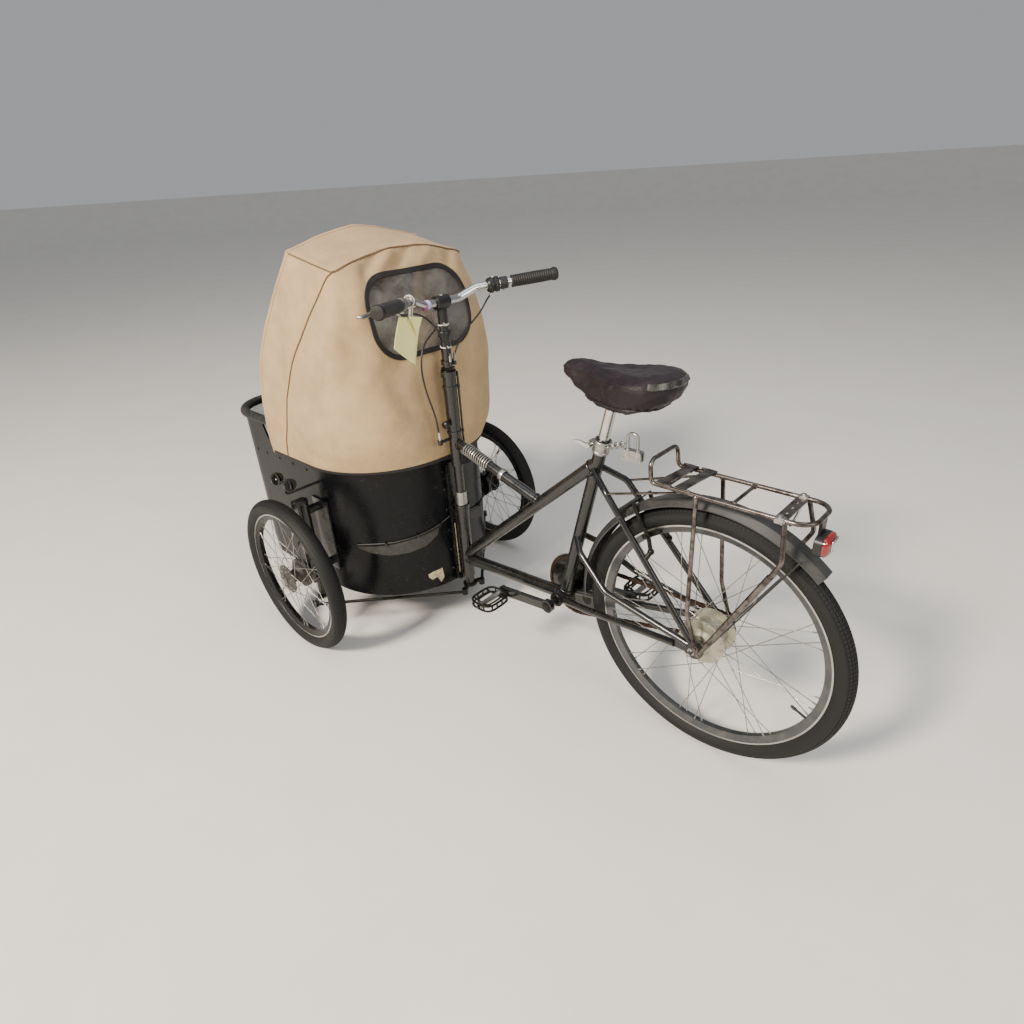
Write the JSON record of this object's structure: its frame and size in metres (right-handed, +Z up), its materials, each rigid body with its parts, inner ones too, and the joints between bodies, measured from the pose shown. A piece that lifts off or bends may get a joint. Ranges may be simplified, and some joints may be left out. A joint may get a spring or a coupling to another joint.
{
  "type": "cargo tricycle",
  "caption": "Front-loading cargo tricycle with a round-backed black cabin, tan canvas hood, linked front wheels and a bicycle rear half.",
  "frame": {"origin": "on the ground, midway between the rear tyre's back and the front hoop, in the middle plane", "axes": "+X forward, +Y to the rider's left, +Z up"},
  "size_m": [1.97, 0.926, 1.196],
  "materials": {
    "black_paint": "worn gloss black enamel",
    "panel": "scuffed gloss black sheet",
    "rubber_sleeve": "matt black sleeve",
    "clear_sheet": "clear flexible sheet",
    "canvas": "tan canvas",
    "tyre": "dusty black",
    "alloy": "satin",
    "steel": "dull zinc",
    "spoke": "dull steel wire",
    "rusty_chrome": "rusted chrome",
    "black_plastic": "matt black",
    "mudguard": "faded dark grey",
    "saddle_cover": "dark purple-grey cover",
    "red_lens": "red lens",
    "chain": "oiled and rusty",
    "wood": "varnished board"
  },
  "bodies": {
    "frame": {"cabin_bench": "wood", "cabin_pan": "panel", "cabin_panel_left": "panel", "cabin_panel_right": "panel", "cabin_rim": "rubber_sleeve", "cabin_spine": "black_paint", "cabin_window": "clear_sheet", "chain": "chain", "chainstays": "black_paint", "down_tube": "black_paint", "head_tubes": "black_paint", "hood": "canvas", "hood_bows": "black_paint", "hood_window": "clear_sheet", "mid_stays": "black_paint", "mudguard": "mudguard", "rack": "rusty_chrome", "rack_plates": "black_paint", "rear_axle": "steel", "rear_light": "red_lens", "rim_brake": "black_paint", "saddle": "saddle_cover", "seat_clamp": "steel", "seat_post": "alloy", "seat_stays": "black_paint", "seat_tube": "black_paint", "strut_tube": "black_paint", "top_tube": "black_paint", "wheel_lamps": "black_plastic", "wheel_posts": "black_paint"},
    "steering": {"steering_column": "black_paint", "bearing_sleeve": "steel", "steering_foot": "black_paint", "stem": "alloy", "handlebar": "alloy", "grips": "black_plastic", "brake_levers": "alloy", "gear_shifter": "black_plastic", "cable_left": "black_plastic", "cable_right": "black_plastic", "cable_loop": "black_plastic"},
    "knuckle_left": {"knuckle_left": "black_paint"},
    "knuckle_right": {"knuckle_right": "black_paint"},
    "front_wheel_left": {"front_tyre_left": "tyre", "front_rim_left": "alloy", "front_spokes_left": "spoke", "front_hub_left": "alloy"},
    "front_wheel_right": {"front_tyre_right": "tyre", "front_rim_right": "alloy", "front_spokes_right": "spoke", "front_hub_right": "alloy"},
    "rear_wheel": {"rear_tyre": "tyre", "rear_rim": "alloy", "rear_spokes": "spoke", "rear_hub": "alloy"},
    "cranks": {"cranks": "black_paint"},
    "pedal_left": {"pedal_left": "alloy"},
    "pedal_right": {"pedal_right": "alloy"},
    "tie_rod_left": {"tie_rod_left": "black_paint"},
    "tie_rod_right": {"tie_rod_right": "black_paint"}
  },
  "joints": [
    {"name": "steering_turn", "type": "hinge", "parent": "frame", "child": "steering", "pos_m": [0.167, 0, 0.6], "axis": [0, 0, 1], "range_deg": [-24, 24]},
    {"name": "knuckle_left_turn", "type": "hinge", "parent": "frame", "child": "knuckle_left", "pos_m": [0.497, 0.345, 0.25], "axis": [0, 0, 1], "range_deg": [-24, 24]},
    {"name": "front_wheel_left_spin", "type": "hinge", "parent": "knuckle_left", "child": "front_wheel_left", "pos_m": [0.497, 0.421, 0.25], "axis": [0, 1, 0], "continuous": true},
    {"name": "tie_rod_left_turn", "type": "hinge", "parent": "steering", "child": "tie_rod_left", "pos_m": [0.152, 0.038, 0.1265], "axis": [0, 0, 1], "range_deg": [-24, 24]},
    {"name": "knuckle_right_turn", "type": "hinge", "parent": "frame", "child": "knuckle_right", "pos_m": [0.497, -0.345, 0.25], "axis": [0, 0, 1], "range_deg": [-24, 24]},
    {"name": "front_wheel_right_spin", "type": "hinge", "parent": "knuckle_right", "child": "front_wheel_right", "pos_m": [0.497, -0.421, 0.25], "axis": [0, 1, 0], "continuous": true},
    {"name": "tie_rod_right_turn", "type": "hinge", "parent": "steering", "child": "tie_rod_right", "pos_m": [0.152, -0.038, 0.1265], "axis": [0, 0, 1], "range_deg": [-24, 24]},
    {"name": "rear_wheel_spin", "type": "hinge", "parent": "frame", "child": "rear_wheel", "pos_m": [-0.658, 0, 0.327], "axis": [0, 1, 0], "continuous": true},
    {"name": "crank_spin", "type": "hinge", "parent": "frame", "child": "cranks", "pos_m": [-0.23, 0, 0.262], "axis": [0, 1, 0], "continuous": true},
    {"name": "pedal_left_spin", "type": "hinge", "parent": "cranks", "child": "pedal_left", "pos_m": [-0.06116, 0.13, 0.24217], "axis": [0, 1, 0], "continuous": true},
    {"name": "pedal_right_spin", "type": "hinge", "parent": "cranks", "child": "pedal_right", "pos_m": [-0.39884, -0.13, 0.28183], "axis": [0, 1, 0], "continuous": true}
  ],
  "couplings": [
    {"joint": "knuckle_left_turn", "follows": "steering_turn", "ratio": 1},
    {"joint": "tie_rod_left_turn", "follows": "steering_turn", "ratio": -1},
    {"joint": "knuckle_right_turn", "follows": "steering_turn", "ratio": 1},
    {"joint": "tie_rod_right_turn", "follows": "steering_turn", "ratio": -1}
  ]
}
